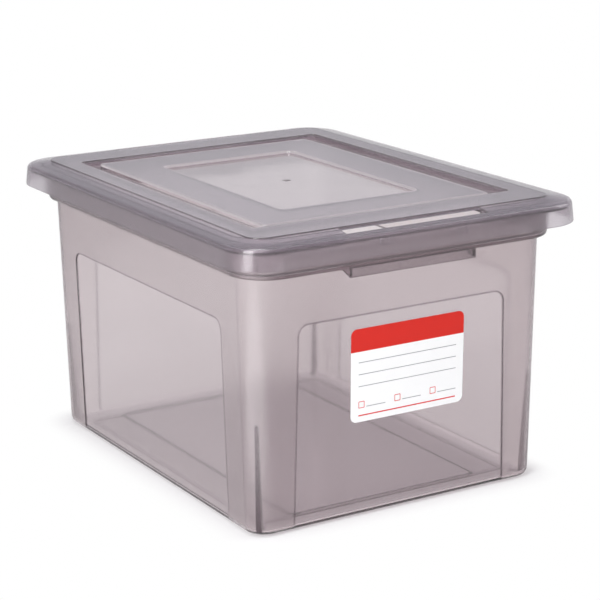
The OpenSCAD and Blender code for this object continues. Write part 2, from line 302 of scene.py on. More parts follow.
def rounded_mask(tree, across, along, half_width, half_length, corner, blur=1.5):
    """The rounded_mask group, placed in a tree."""
    return node_in(tree, "ShaderNodeGroup", {
        "Across": across, "Along": along, "Half Width": half_width, "Half Length": half_length,
        "Corner": corner, "Blur": blur,
    }, node_tree=mask_group).outputs[0]


def place_on_piece(tree):
    """The place of a shaded point on its own piece in millimetres, as a vector and apart."""
    object_place = node_in(tree, "ShaderNodeTexCoord").outputs["Object"]
    place = node_in(
        tree, "ShaderNodeVectorMath", {0: object_place, "Scale": 1 / MM}, operation="SCALE"
    ).outputs[0]
    return place, node_in(tree, "ShaderNodeSeparateXYZ", {0: place}).outputs


def rays(tree, *kinds):
    """1 for light rays of the named kinds, 0 for the rest."""
    path = node_in(tree, "ShaderNodeLightPath").outputs
    found = path[kinds[0]]
    for kind in kinds[1:]:
        found = maths(tree, "MAXIMUM", found, path[kind])
    return found


def blend(tree, mask, colour, other):
    """One colour where a mask is 0, another where it is 1. Each is a socket or three plain values."""
    feeds = [c if isinstance(c, bpy.types.NodeSocket) else (*c, 1) for c in (colour, other)]
    return node_in(
        tree, "ShaderNodeMix", {"Factor": mask, "A": feeds[0], "B": feeds[1]}, data_type="RGBA"
    ).outputs[2]


def outline(tree, mask):
    """1 along the soft edge of a mask, 0 away from it."""
    return maths(tree, "MULTIPLY", maths(tree, "MULTIPLY", mask, maths(tree, "SUBTRACT", 1, mask)), 4)


def plastic(name, zones_at, frosted_tint, polished_tint, depth_density):
    """Smoke-tinted plastic with painted shade in its dark zones and a painted glow in its lit zones. Lamps
    shine straight through it, and the eye sees it refracted.
    """
    material = bpy.data.materials.new(name)
    material.use_nodes = True
    tree = material.node_tree
    place, apart = place_on_piece(tree)
    # The zones: polished, thick (where shade is painted on as a darker colour) and the painted glow.
    polished, thick, painted_glow_mask = zones_at(tree, *apart)
    surface = node_in(tree, "ShaderNodeGroup", {
        "Place": place, "Polished": polished,
        "Frosted Roughness": frosted_rough, "Polished Roughness": polished_rough,
    }, node_tree=surface_group).outputs
    # Painted shade: the colour turns to the painted shade tint in the thick zones.
    pigment = blend(tree, thick, blend(tree, polished, frosted_tint, polished_tint), painted_shade_tint)
    # Painted glow: the plastic glows faintly where the glow mask is on.
    glow_paint = blend(tree, painted_glow_mask, (0, 0, 0), painted_glow_colour)
    shader = tree.nodes["Principled BSDF"]
    shader.inputs["IOR"].default_value = plastic_ior
    shader.inputs["Transmission Weight"].default_value = plastic_clearness
    shader.inputs["Emission Strength"].default_value = 1
    tree.links.new(pigment, shader.inputs["Base Color"])
    tree.links.new(glow_paint, shader.inputs["Emission Color"])
    tree.links.new(surface["Roughness"], shader.inputs["Roughness"])
    tree.links.new(surface["Normal"], shader.inputs["Normal"])
    through = [(tint * passed_by_faces) ** 0.5 for tint in frosted_tint]
    straight = node_in(tree, "ShaderNodeBsdfTransparent", {"Color": (*through, 1)})
    mix = node_in(tree, "ShaderNodeMixShader", {
        0: rays(tree, "Is Shadow Ray", "Is Diffuse Ray"), 1: shader.outputs[0], 2: straight.outputs[0],
    })
    output = tree.nodes["Material Output"]
    tree.links.new(mix.outputs[0], output.inputs["Surface"])
    smoke = node_in(tree, "ShaderNodeVolumeAbsorption", {
        "Color": (*smoke_colour, 1), "Density": depth_density,
    })
    tree.links.new(smoke.outputs[0], output.inputs["Volume"])
    return material


def tub_zones(tree, across, along, up):
    """Masks of the tub: polished (its four windows, through the wall, and its floor), thick (painted shade
    on the corner ribs, the windows' stepped edges and the rim), and a painted glow along its foot."""
    # Strengths of the painted shade on the window steps and the rim, and of the painted glow on the foot.
    step_shade_weight, rim_shade_weight, foot_glow_strength = 0.9, 0.6, 0.32
    step_blur, rib_margin, foot_glow_height = 3, 0.3, 3.5
    sunk_masks, step_masks = [], []
    drop = maths(tree, "SUBTRACT", 1, maths(tree, "DIVIDE", up, window_top))
    from_middle = maths(tree, "ADD", up, window_top)
    for way, half, flare in (
        (across, end_window_x, end_window_flare), (along, side_window_y, side_window_flare),
    ):
        wide = maths(tree, "MULTIPLY_ADD", drop, flare / 2, half)
        sizes = (way, from_middle, wide, 2 * window_top, window_r)
        sunk_masks.append(rounded_mask(tree, *sizes))
        step_masks.append(rounded_mask(tree, *sizes, step_blur))
    windows = maths(tree, "MAXIMUM", *sunk_masks)
    flat = rounded_mask(tree, across, along, *inset((wall_x, wall_y, wall_r), 6))
    off_flat = maths(tree, "SUBTRACT", 1, flat)
    low = maths(tree, "LESS_THAN", up, floor_top + floor_panel_rise + 1)
    polished = maths(tree, "MAXIMUM", windows, maths(tree, "MULTIPLY", flat, low))
    # Painted shade along the windows' stepped edges.
    steps = maths(tree, "MULTIPLY", outline(tree, maths(tree, "MAXIMUM", *step_masks)), off_flat)

    # Painted shade on the corner ribs, where they show through the wall.
    past_centre = [
        maths(tree, "MAXIMUM", maths(tree, "SUBTRACT", maths(tree, "ABSOLUTE", way), half - wall_r), 0)
        for way, half in ((across, wall_x), (along, wall_y))
    ]
    in_corner = maths(tree, "GREATER_THAN", maths(tree, "MINIMUM", *past_centre), 0.5)
    off_diagonal = maths(tree, "MULTIPLY", maths(tree, "SUBTRACT", *past_centre), 0.5 ** 0.5)
    taper = (rib_tip - rib_foot) / 2 / corner_rib_top
    half_rib = maths(tree, "MULTIPLY_ADD", up, taper, rib_foot / 2 + rib_margin)
    on_rib = rounded_mask(tree, off_diagonal, up, half_rib, corner_rib_top, 1.0, 1.0)
    rib = maths(tree, "MULTIPLY", in_corner, on_rib)

    # Painted shade on the rim, outside the walls.
    inside = rounded_mask(tree, across, along, wall_x + wall_lean + 1, wall_y + wall_lean + 1, wall_r)
    rim = maths(tree, "MULTIPLY", maths(tree, "SUBTRACT", 1, inside), rim_shade_weight)
    # All the painted shade together.
    step_shade = maths(tree, "MULTIPLY", steps, step_shade_weight)
    thick = maths(tree, "MAXIMUM", rib, maths(tree, "MAXIMUM", step_shade, rim))
    # Painted glow along the foot, fading out a few millimetres above the table, kept off the floor.
    foot_glow_band = map_range(tree, up, foot_z, foot_z + foot_glow_height, foot_glow_strength, 0)
    return polished, thick, maths(tree, "MULTIPLY", foot_glow_band, off_flat)


tub_smoke = plastic("tub_smoke", tub_zones, (0.91, 0.88, 0.88), (0.875, 0.845, 0.85), 160)
tub.data.materials.append(tub_smoke)

# ---------------------------------------------------------------------------
# Rails, grips and ribs of the tub
# They belong to the same moulding. Folders hang from the rails, fingers go under the grips, and thin
# ribs brace the corners. A low ridge under the floor fits the recess of another box's lid.
# ---------------------------------------------------------------------------
sink = 0.4
rail_rise, rail_short = 12.5, 36
grip_half, grip_drop, grip_proud, grip_web_rise = 65.5, 7.6, 0.6, 4.5
rib_start, rib_top_depth = 11, 2
web_thick, web_depth, web_rise = 2.4, 9, 13.6
ridge_x, ridge_y, ridge_r, ridge_thick, ridge_top = 134, 169.8, 6, 3, 3.4


def settle(piece):
    """Turns a piece's modifiers into plain mesh."""
    graph = bpy.context.evaluated_depsgraph_get()
    mesh = bpy.data.meshes.new_from_object(piece.evaluated_get(graph))
    piece.modifiers.clear()
    piece.data = mesh


def carve(piece, tool, operation):
    """Joins a tool shape to a piece, or cuts it out, and removes the tool."""
    boolean = piece.modifiers.new(operation, "BOOLEAN")
    boolean.operation = operation
    boolean.solver = "EXACT"
    boolean.object = tool
    settle(piece)
    bpy.data.objects.remove(tool)


def rib_tree(name, sizes):
    """An empty Geometry Nodes tree with named sizes and a material."""
    takes = {"Geometry": "Geometry", **sizes, "Material": "Material"}
    return named_group("GeometryNodeTree", name, takes, {"Geometry": "Geometry"})


def finish_tree(tree, source, material):
    """Ends a tree: real geometry, in the material that its Material input names."""
    real = node_in(tree, "GeometryNodeRealizeInstances", {"Geometry": source})
    painted = node_in(tree, "GeometryNodeSetMaterial", {"Geometry": real.outputs[0], "Material": material})
    node_in(tree, "NodeGroupOutput", {"Geometry": painted.outputs[0]})
    return tree


def run_tree(piece, tree, values):
    """Runs a tree on a piece with the values given by input name, and keeps the result as plain mesh."""
    modifier = piece.modifiers.new(tree.name, "NODES")
    modifier.node_group = tree
    for item in tree.interface.items_tree:
        if item.in_out == "INPUT" and item.name in values:
            modifier[item.identifier] = values[item.name]
    settle(piece)
    clean(piece.data)
    return piece


def make_frame_tree():
    """An upright rib that runs round a rounded rectangle, like a picture frame set on edge."""
    sizes = ("Half Width", "Half Length", "Corner Radius", "Thickness", "Bottom", "Top", "Edge Rounding")
    tree, given = rib_tree("frame_rib", dict.fromkeys(sizes, "Float"))
    thick = given["Thickness"]
    route = node_in(tree, "GeometryNodeCurvePrimitiveQuadrilateral", {
        "Width": maths(tree, "SUBTRACT", maths(tree, "MULTIPLY", given["Half Width"], 2), thick),
        "Height": maths(tree, "SUBTRACT", maths(tree, "MULTIPLY", given["Half Length"], 2), thick),
    })
    bent = node_in(tree, "GeometryNodeFilletCurve", {
        "Curve": route.outputs[0],
        "Count": CORNER_STEPS,
        "Radius": maths(tree, "MULTIPLY_ADD", thick, -0.5, given["Corner Radius"]),
    }, mode="POLY")
    section = node_in(tree, "GeometryNodeCurvePrimitiveQuadrilateral", {
        "Width": thick,
        "Height": maths(tree, "SUBTRACT", given["Top"], given["Bottom"]),
    })
    eased = node_in(tree, "GeometryNodeFilletCurve", {
        "Curve": section.outputs[0], "Count": 3, "Radius": given["Edge Rounding"],
    }, mode="POLY")
    rib = node_in(tree, "GeometryNodeCurveToMesh", {
        "Curve": bent.outputs[0], "Profile Curve": eased.outputs[0],
    })
    middle = maths(tree, "MULTIPLY", maths(tree, "ADD", given["Top"], given["Bottom"]), 0.5)
    lift = node_in(tree, "ShaderNodeCombineXYZ", {"Z": middle})
    lifted = node_in(tree, "GeometryNodeTransform", {
        "Geometry": rib.outputs[0], "Translation": lift.outputs[0],
    })
    return finish_tree(tree, lifted.outputs[0], given["Material"])


def make_turn_tree():
    """Equal copies of a shape, turned about the upright middle of the box."""
    tree, given = rib_tree("turned_copies", {"Count": "Int"})
    spots = node_in(tree, "GeometryNodePoints", {"Count": given["Count"]})
    number = node_in(tree, "GeometryNodeInputIndex").outputs[0]
    share = maths(tree, "DIVIDE", number, given["Count"])
    turn = node_in(tree, "ShaderNodeCombineXYZ", {"Z": maths(tree, "MULTIPLY", share, 2 * math.pi)})
    copies = node_in(tree, "GeometryNodeInstanceOnPoints", {
        "Points": spots.outputs[0], "Instance": given["Geometry"], "Rotation": turn.outputs[0],
    })
    return finish_tree(tree, copies.outputs[0], given["Material"])


def make_corner_tree():
    """A shape that points along +X, set at four corner centres and turned outwards along each diagonal."""
    tree, given = rib_tree("corner_copies", {"Centre X": "Float", "Centre Y": "Float"})
    centres = node_in(tree, "GeometryNodeCurvePrimitiveQuadrilateral", {
        "Width": maths(tree, "MULTIPLY", given["Centre X"], 2),
        "Height": maths(tree, "MULTIPLY", given["Centre Y"], 2),
    })
    place = node_in(tree, "GeometryNodeInputPosition")
    apart = node_in(tree, "ShaderNodeSeparateXYZ", {0: place.outputs[0]}).outputs
    sides = [maths(tree, "SIGN", apart[axis]) for axis in ("Y", "X")]
    turn = node_in(tree, "ShaderNodeCombineXYZ", {"Z": maths(tree, "ARCTAN2", *sides)})
    copies = node_in(tree, "GeometryNodeInstanceOnPoints", {
        "Points": centres.outputs[0], "Instance": given["Geometry"], "Rotation": turn.outputs[0],
    })
    return finish_tree(tree, copies.outputs[0], given["Material"])


frame_tree, turn_tree, corner_tree = make_frame_tree(), make_turn_tree(), make_corner_tree()


def bar(name, half_x, half_y, low, high, at=(0, 0)):
    """An upright bar or plate with eased edges, from one height to another."""
    corner, inner_corner, rounding = 0.4, 0.12, 0.36
    path = [
        (half_x - corner, half_y - corner, inner_corner, low, 0),
        (half_x, half_y, corner, low, rounding),
        (half_x, half_y, corner, high, rounding),
        (half_x - corner, half_y - corner, inner_corner, high, 0),
    ]
    rings = [[(x + at[0], y + at[1], z) for x, y, z in loop(*ring)] for ring in soften(path)]
    return loft(name, rings)


def web(name, shape, thickness, lean=0.0):
    """A web cut to a shape in the X-Z plane, centred on y = 0, thinner by lean for each unit upwards."""
    rings = [[(x, side * (thickness - lean * z) / 2, z) for x, z in shape] for side in (-1, 1)]
    return loft(name, rings)


rail_z = shelf_top + rail_rise
wall_top_x, wall_top_y = wall_at(shelf_z)[:2]
rail_x, rail_y = wall_top_x - tub_wall / 2, wall_top_y - tub_wall / 2
rails = [
    bar("side_rail", tub_wall / 2, wall_top_y - rail_short, shelf_top - sink, rail_z, (rail_x, 0)),
    bar("end_rail", wall_top_x - rail_short, tub_wall / 2, shelf_top - sink, rail_z, (0, rail_y)),
]

grip_z = shelf_z - grip_drop
grip_y = lip_y - tub_wall / 2 + grip_proud
grip = bar("grip_plate", grip_half, tub_wall / 2, grip_z, flange_z - tub_wall + sink, (0, grip_y))
for side in (-1, 1):
    grip_web = web("grip_web", [
        (lip_y + grip_proud, grip_z), (wall_top_y - 1, grip_z + grip_web_rise),
        (wall_top_y - 1, shelf_z + sink), (lip_y + grip_proud, shelf_z + sink),
    ], tub_wall)
    at_end = Matrix.Translation((side * (grip_half - tub_wall / 2) * MM, 0, 0))
    grip_web.data.transform(at_end @ Matrix.Rotation(math.pi / 2, 4, "Z"))
    carve(grip, grip_web, "UNION")
for part in (*rails, grip):
    run_tree(part, turn_tree, {"Count": 2, "Material": tub_smoke})

foot_bend = [
    (
        wall_r - foot_round + (foot_round - tub_wall / 2) * math.cos(math.radians(angle)),
        foot_z + foot_round + (foot_round - tub_wall / 2) * math.sin(math.radians(angle)),
    )
    for angle in range(-80, 1, 20)
]
rib_top_out = wall_at(corner_rib_top)[2]
corner_rib = web("corner_rib", [
    (rib_start, floor_top - sink), *foot_bend,
    (rib_top_out - tub_wall / 2, corner_rib_top),
    (rib_top_out - tub_wall - rib_top_depth, corner_rib_top),
], rib_foot, (rib_foot - rib_tip) / corner_rib_top)
run_tree(corner_rib, corner_tree, {
    "Centre X": (wall_x - wall_r) * MM, "Centre Y": (wall_y - wall_r) * MM, "Material": tub_smoke,
})
web_in, web_out, web_top = lip_r - web_depth, lip_r - tub_wall + sink, shelf_top + web_rise
corner_web = web("corner_web", [
    (web_in, shelf_top - sink), (web_out, shelf_top - sink), (web_out, web_top), (web_in, web_top),
], web_thick)
run_tree(corner_web, corner_tree, {
    "Centre X": (lip_x - lip_r) * MM, "Centre Y": (lip_y - lip_r) * MM, "Material": tub_smoke,
})
ridge = run_tree(make_piece("stacking_ridge"), frame_tree, {
    "Half Width": ridge_x * MM, "Half Length": ridge_y * MM, "Corner Radius": ridge_r * MM,
    "Thickness": ridge_thick * MM, "Bottom": 0.0, "Top": ridge_top * MM, "Edge Rounding": 0.5 * MM,
    "Material": tub_smoke,
})
for part in (*rails, grip, corner_rib, corner_web, ridge):
    carve(tub, part, "UNION")

# ---------------------------------------------------------------------------
# Window panels of the tub
# Each wall has one flat field of the same plastic, sunk 1 mm into it and polished in the mould, so
# that the folders show. It is open at the foot of the wall and has two rounded corners at its top.
# ---------------------------------------------------------------------------
recess_section = (
    (-1.0, -0.2), (-0.93, 0.0), (-0.75, 0.08), (-0.2, 0.2), (-0.05, 0.3), (0.1, 0.9), (12, 0.9),
)


def window_outline(half_width, flare, height, grow):
    """Outline of a window panel, open at the foot of the wall, widened by grow."""
    below = -20
    low = half_width + flare / 2 + grow
    centre_x, centre_z = half_width - window_r, height - window_r
    radius = window_r + grow
    points = [(-low, below), (low, below)]
    for side, start in ((1, 0), (-1, 1)):
        for step in range(9):
            angle = math.pi / 2 * (start + step / 8)
            points.append((
                side * centre_x + radius * math.cos(angle), centre_z + radius * math.sin(angle),
            ))
    return points


def window_tool(turn, distance, half_width, flare):
    """The shape that sinks a window panel into the wall that faces one way."""
    lean = math.atan(wall_lean / (shelf_z - foot_z))
    rings = []
    for out, grow in recess_section:
        ring = []
        for across, up in window_outline(half_width, flare, window_top - foot_z, grow):
            place = Vector((
                across,
                -distance - up * math.sin(lean) - out * math.cos(lean),
                foot_z + up * math.cos(lean) - out * math.sin(lean),
            ))
            ring.append(Matrix.Rotation(turn, 3, "Z") @ place)
        rings.append(ring)
    return loft("window_tool", rings)


def join(pieces):
    """Several separate shapes as one object."""
    bpy.ops.object.select_all(action="DESELECT")
    for piece in pieces:
        piece.select_set(True)
    bpy.context.view_layer.objects.active = pieces[0]
    bpy.ops.object.join()
    return pieces[0]


def shade_smooth(piece):
    """Smooth shading on the bends and crisp shading at the edges of a moulding."""
    piece.data.set_sharp_from_angle(angle=math.radians(35))
    for polygon in piece.data.polygons:
        polygon.use_smooth = True
    weighted = piece.modifiers.new("even_shading", "WEIGHTED_NORMAL")
    weighted.keep_sharp = True


tools = []
for half_turn in (0, math.pi):
    tools.append(window_tool(half_turn, wall_y, end_window_x, end_window_flare))
    tools.append(window_tool(half_turn + math.pi / 2, wall_x, side_window_y, side_window_flare))
carve(tub, join(tools), "DIFFERENCE")
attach(tub, "tub")
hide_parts("tub")
shade_smooth(tub)

# ---------------------------------------------------------------------------
# Lid
# One injection moulding of the same plastic, 2.2 mm thick. It is loose: its seat rib rests on the
# tub's flange, and its locating rib goes inside the lip. At each end a slot frees a snap strip, whose
# two lugs catch the flange.
# ---------------------------------------------------------------------------
lid_wall = 2.2
lid_plan = (lid_high.x / MM, lid_high.y / MM, 40.0)
lid_z, skirt_z = lid_high.z / MM, lid_low.z / MM
skirt_lean, shoulder_round = 2.1, 3.5
border_w = 24.9
border_in_z = lid_z - 1.0
border_out_z = border_in_z - 3.0
deck_x, deck_y, deck_r = inset(lid_plan, border_w)
recess_x, recess_y, recess_r = deck_x - 20.6, deck_y - 37.8, 4.0
panel_x, panel_y, panel_r = recess_x - 16.7, recess_y - 9.3, 3.0
groove_z = lid_z - 7.0
panel_z = lid_z - 1.9
lid_window_x, lid_window_y, lid_window_r = 73.4, 115.8, 8.0
lid_window_z = panel_z - 2.9
under_window_r, under_recess_r = 10, 6.2
recess_draft, window_draft = 0.2, 0.3
step_run, under_step_out, under_step_in = 0.2, 1.5, 0.6
under_shoulder = 1.5
gate_r, gate_depth, button_r, button_depth, gate_draft, gate_edge = 4.0, 0.5, 1.5, 0.2, 0.2, 0.1

rib_thick, rib_edge, rib_sink = 1.6, 0.3, 0.3
locating_gap, locating_depth = 0.8, 8
seat_side, seat_end, seat_corner, seat_short = 4.5, 5.5, 1, 0.6
lug_gap, lug_drop, lug_apart = 0.3, 1, 40
lug_half, lug_deep, lug_tall = 4.5, 1.75, 4
lug_rib_apart, lug_rib_half, lug_rib_deep, lug_rib_rise = 3.9, 0.6, 1.45, 3
slot_half_x, slot_half_y, slot_corner = 74.0, 7.25, 0.8
slot_below, slot_middle, slot_above = 9, 3.2, 20


def skirt_at(inwards, z, rounding):
    """An entry of the lid's profile, moved in from the foot of its skirt."""
    return (*inset(lid_plan, inwards), z, rounding)


def gate_at(radius, z, rounding):
    """An entry of the lid's profile round its gate mark."""
    return radius, radius, radius, z, rounding


lid_path = [
    (lid_window_x - 10, lid_window_y - 10, 6, lid_window_z - lid_wall, 0),
    (lid_window_x + lid_wall, lid_window_y + lid_wall, under_window_r, lid_window_z - lid_wall, edge),
    (lid_window_x + lid_wall, lid_window_y + lid_wall, under_window_r, panel_z - lid_wall, edge),
    (panel_x - lid_wall, panel_y - lid_wall, panel_r, panel_z - lid_wall, edge),
    (panel_x - lid_wall, panel_y - lid_wall, panel_r, groove_z - lid_wall, 0.6),
    (recess_x + lid_wall, recess_y + lid_wall, under_recess_r, groove_z - lid_wall, 1),
    (recess_x + lid_wall, recess_y + lid_wall, under_recess_r, lid_z - lid_wall, edge),
    skirt_at(border_w + under_step_out, lid_z - lid_wall, 0.4),
    skirt_at(border_w + under_step_in, border_in_z - lid_wall, 0.4),
    skirt_at(skirt_lean + lid_wall + under_shoulder, border_out_z - lid_wall, 0.6),
    skirt_at(skirt_lean + lid_wall, border_out_z - lid_wall - under_shoulder, 0.6),
    skirt_at(lid_wall, skirt_z, 0.5),
    skirt_at(0, skirt_z, edge),
    skirt_at(skirt_lean, border_out_z, shoulder_round),
    skirt_at(border_w, border_in_z, 0.35),
    skirt_at(border_w + step_run, lid_z, 0.5),
    (recess_x, recess_y, recess_r, lid_z, 1),
    (*inset((recess_x, recess_y, recess_r), recess_draft), groove_z, 1),
    (*inset((panel_x, panel_y, panel_r), -recess_draft), groove_z, edge),
    (panel_x, panel_y, panel_r, panel_z, 0.9),
    (lid_window_x, lid_window_y, lid_window_r, panel_z, edge),
    (*inset((lid_window_x, lid_window_y, lid_window_r), window_draft), lid_window_z, edge),
    gate_at(gate_r, lid_window_z, gate_edge),
    gate_at(gate_r - gate_draft, lid_window_z - gate_depth, gate_edge),
    gate_at(button_r, lid_window_z - gate_depth, gate_edge),
    gate_at(button_r - gate_draft, lid_window_z - button_depth, 0),
]
lid = loft("lid_moulding", [loop(*ring) for ring in soften(lid_path)])


def lid_zones(tree, across, along, up):
    """Masks of the lid: polished (the groove and the window), thick (painted shade on the step round the
    deck), and a painted glow on the cut-off edges of the centre panel's sheet."""
    deck_step_shade_weight = 0.5
    window, groove, panel = [
        rounded_mask(tree, across, along, half_x + grown, half_y + grown, corner)
        for half_x, half_y, corner, grown in (
            (lid_window_x, lid_window_y, lid_window_r, 1),
            (recess_x, recess_y, recess_r, 1.5),
            (panel_x, panel_y, panel_r, -2.5),
        )
    ]
    polished = maths(tree, "ADD", window, maths(tree, "SUBTRACT", groove, panel))
    # Painted shade: a dark line along the step round the deck.
    deck_step = outline(tree, rounded_mask(tree, across, along, deck_x, deck_y, deck_r))
    # Painted glow along the cut-off edges of the window and the centre panel, on the sheet only.
    sheet_edge_glow = [
        outline(tree, rounded_mask(tree, across, along, *plan))
        for plan in ((lid_window_x, lid_window_y, lid_window_r), (panel_x, panel_y, panel_r))
    ]
    sheet = maths(tree, "GREATER_THAN", up, panel_z - lid_wall)
    painted_glow_mask = maths(tree, "MULTIPLY", maths(tree, "MAXIMUM", *sheet_edge_glow), sheet)
    return polished, maths(tree, "MULTIPLY", deck_step, deck_step_shade_weight), painted_glow_mask


lid_smoke = plastic("lid_smoke", lid_zones, (0.725, 0.68, 0.72), (0.84, 0.805, 0.815), 20)
lid.data.materials.append(lid_smoke)

locating_plan = inset(inset(lip, tub_wall), locating_gap)
locating_rib = run_tree(make_piece("locating_rib"), frame_tree, {
    "Half Width": locating_plan[0] * MM, "Half Length": locating_plan[1] * MM,
    "Corner Radius": locating_plan[2] * MM, "Thickness": rib_thick * MM,
    "Bottom": (flange_z - locating_depth) * MM, "Top": (border_in_z - lid_wall + rib_sink) * MM,
    "Edge Rounding": rib_edge * MM, "Material": lid_smoke,
})
seat_rib = run_tree(make_piece("seat_rib"), frame_tree, {
    "Half Width": (lip_x + seat_side) * MM, "Half Length": (lip_y + seat_end) * MM,
    "Corner Radius": (lip_r + seat_corner) * MM, "Thickness": rib_thick * MM,
    "Bottom": flange_z * MM, "Top": (border_out_z - seat_short) * MM,
    "Edge Rounding": rib_edge * MM, "Material": lid_smoke,
})

lug_z = flange_z - tub_wall - lug_drop
lug_y = flange[1] + lug_gap
lugs = []
for x in (-lug_apart, lug_apart):
    lugs.append(bar("lug", lug_half, lug_deep, lug_z - lug_tall, lug_z, (x, lug_y + lug_deep)))
    for dx in (-lug_rib_apart, lug_rib_apart):
        lugs.append(bar(
            "lug_rib", lug_rib_half, lug_rib_deep, lug_z - lug_tall - 0.1, lug_z + lug_rib_rise,
            (x + dx, lug_y + lug_rib_deep),
        ))
for part in lugs[1:]:
    carve(lugs[0], part, "UNION")
run_tree(lugs[0], turn_tree, {"Count": 2, "Material": lid_smoke})
for part in (locating_rib, seat_rib, lugs[0]):
    carve(lid, part, "UNION")

slot_rings = [
    [(x, y + deck_y + slot_half_y, z) for x, y, _ in loop(slot_half_x, slot_half_y, slot_corner, 0)]
    for z in (flange_z - slot_below, border_in_z - slot_middle, lid_z + slot_above)
]
slot = run_tree(loft("slot", slot_rings), turn_tree, {"Count": 2, "Material": lid_smoke})
carve(lid, slot, "DIFFERENCE")
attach(lid, "lid")
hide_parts("lid")
shade_smooth(lid)

# ---------------------------------------------------------------------------
# Label
# A coated paper label with rounded corners, held to the front window by its own adhesive. It keeps
# its CAD mesh. Its print is generic: a heading band, ruled lines to write on, boxes to tick and a
# foot line.
# ---------------------------------------------------------------------------
label_low, label_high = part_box("label")
label_x, label_z = [(label_low[axis] + label_high[axis]) / 2 / MM for axis in (0, 2)]
label_half_x, label_half_z = [(label_high[axis] - label_low[axis]) / 2 / MM for axis in (0, 2)]
print_red, print_grey = (0.66, 0.02, 0.012), (0.2, 0.2, 0.22)
side_margin, blank_margin, past_edge, ink_blur = 8, 7, 200, 0.3
heading_down, heading_half = 10, 11
foot_up, foot_line_half = 6, 0.6
first_line, line_gap, line_count, line_half = 12.0, 11.0, 3, 0.3
box_gap, box_half, box_border, box_up = 38.0, 3.2, 0.7, -27.0
first_box, gaps_before = 52, 200
blank_half, blank_after, blank_drop = 10, 12, 2.4
fibre_scale, dim_paper, bright_paper = 1.4, 0.90, 0.96

paper = bpy.data.materials.new("label_paper")
paper.use_nodes = True
tree = paper.node_tree
place, apart = place_on_piece(tree)
across = maths(tree, "SUBTRACT", apart["X"], label_x)
up = maths(tree, "SUBTRACT", apart["Z"], label_z)

heading_up = maths(tree, "SUBTRACT", up, label_half_z - heading_down)
heading = rounded_mask(tree, across, heading_up, past_edge, heading_half, 0, ink_blur)
from_foot = maths(tree, "ADD", up, label_half_z - foot_up)
foot_line = rounded_mask(
    tree, across, from_foot, label_half_x - side_margin, foot_line_half, 0.3, ink_blur
)

ruled_up = maths(tree, "PINGPONG", maths(tree, "SUBTRACT", up, first_line), line_gap / 2)
ruled = rounded_mask(tree, across, ruled_up, label_half_x - side_margin, line_half, 0, ink_blur)
lines_up = maths(tree, "SUBTRACT", up, first_line - line_gap * (line_count - 1) / 2)
line_field = rounded_mask(tree, across, lines_up, past_edge, line_gap * line_count / 2 - 1, 0, ink_blur)
lines = maths(tree, "MULTIPLY", ruled, line_field)

boxed_up = maths(tree, "SUBTRACT", up, box_up)
from_first = maths(tree, "ADD", across, gaps_before * box_gap + first_box)
in_gap = maths(tree, "MODULO", from_first, box_gap)
boxed_across = maths(tree, "SUBTRACT", in_gap, box_half)
outer = rounded_mask(tree, boxed_across, boxed_up, box_half, box_half, 0.8, ink_blur)
hollow = box_half - box_border
inner = rounded_mask(tree, boxed_across, boxed_up, hollow, hollow, 0.4, ink_blur)
tick_boxes = maths(tree, "SUBTRACT", outer, inner)
after_box = maths(tree, "SUBTRACT", boxed_across, box_half + blank_after)
blank_up = maths(tree, "ADD", boxed_up, blank_drop)
blanks = rounded_mask(tree, after_box, blank_up, blank_half, line_half, 0, ink_blur)
in_margins = rounded_mask(tree, across, up, label_half_x - blank_margin, label_half_z, 0, ink_blur)

fibres = noise(tree, place, fibre_scale, 4)
white_paper = map_range(tree, fibres, 0, 1, dim_paper, bright_paper)
grey_ink = maths(tree, "MAXIMUM", lines, maths(tree, "MULTIPLY", blanks, in_margins))
colour = blend(tree, maths(tree, "MAXIMUM", heading, foot_line), white_paper, print_red)
colour = blend(tree, grey_ink, colour, print_grey)
colour = blend(tree, maths(tree, "MULTIPLY", tick_boxes, in_margins), colour, print_red)
shader = tree.nodes["Principled BSDF"]
tree.links.new(colour, shader.inputs["Base Color"])
shader.inputs["Roughness"].default_value = 0.45
shader.inputs["Specular IOR Level"].default_value = 0.25
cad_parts["label"].data.materials.clear()
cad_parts["label"].data.materials.append(paper)

# ---------------------------------------------------------------------------
# White table
# A plain white table top that the box stands on. Where it is seen it glows an even white, but close to the
# foot the glow is cut back so that the real shadow shows, and seen through the box the glow is cut back
# under and near the box and kept up down a painted bright lane. Two painted bright patches of it give the
# box's front corner and front skirt painted highlights. It shows from above alone.
# ---------------------------------------------------------------------------
table_half, table_z = 6000, -0.1
lane_across, lane_along = (0.857, -0.514, 0), (0.514, 0.857, 0)
foot_x, foot_y = wall_x * MM, wall_y * MM
contact_reach, under_reach, near_reach = 0.012, -0.018, 0.25
contact_shade, under_shade, near_shade = 0.75, 0.45, 0.3
lane_light, lane_half, lane_length, lane_middle = 0.6, 0.42, 6, 5.6
corner_gleam, corner_patch = 8, (-0.50, -0.40)
skirt_gleam, skirt_patch = 4, (0.9, -2.4)

floor = make_piece("floor", [
    (-table_half, -table_half, table_z), (table_half, -table_half, table_z),
    (table_half, table_half, table_z), (-table_half, table_half, table_z),
], [(0, 1, 2, 3)])

white = bpy.data.materials.new("white_table")
white.use_nodes = True
tree = white.node_tree
shader = tree.nodes["Principled BSDF"]
shader.inputs["Base Color"].default_value = (1, 1, 1, 1)
shader.inputs["Roughness"].default_value = 1.0
shader.inputs["Specular IOR Level"].default_value = 0.0
place = node_in(tree, "ShaderNodeTexCoord").outputs["Object"]
apart = node_in(tree, "ShaderNodeSeparateXYZ", {0: place}).outputs


def foot_mask(reach, corner, blur):
    """1 under the box, out to a reach past its foot in metres."""
    return rounded_mask(tree, apart["X"], apart["Y"], foot_x + reach, foot_y + reach, corner, blur)


def patch_mask(middle, half_x, half_y, corner, blur):
    """1 in a patch of the table round a middle, in metres."""
    from_x = maths(tree, "SUBTRACT", apart["X"], middle[0])
    from_y = maths(tree, "SUBTRACT", apart["Y"], middle[1])
    return rounded_mask(tree, from_x, from_y, half_x, half_y, corner, blur)
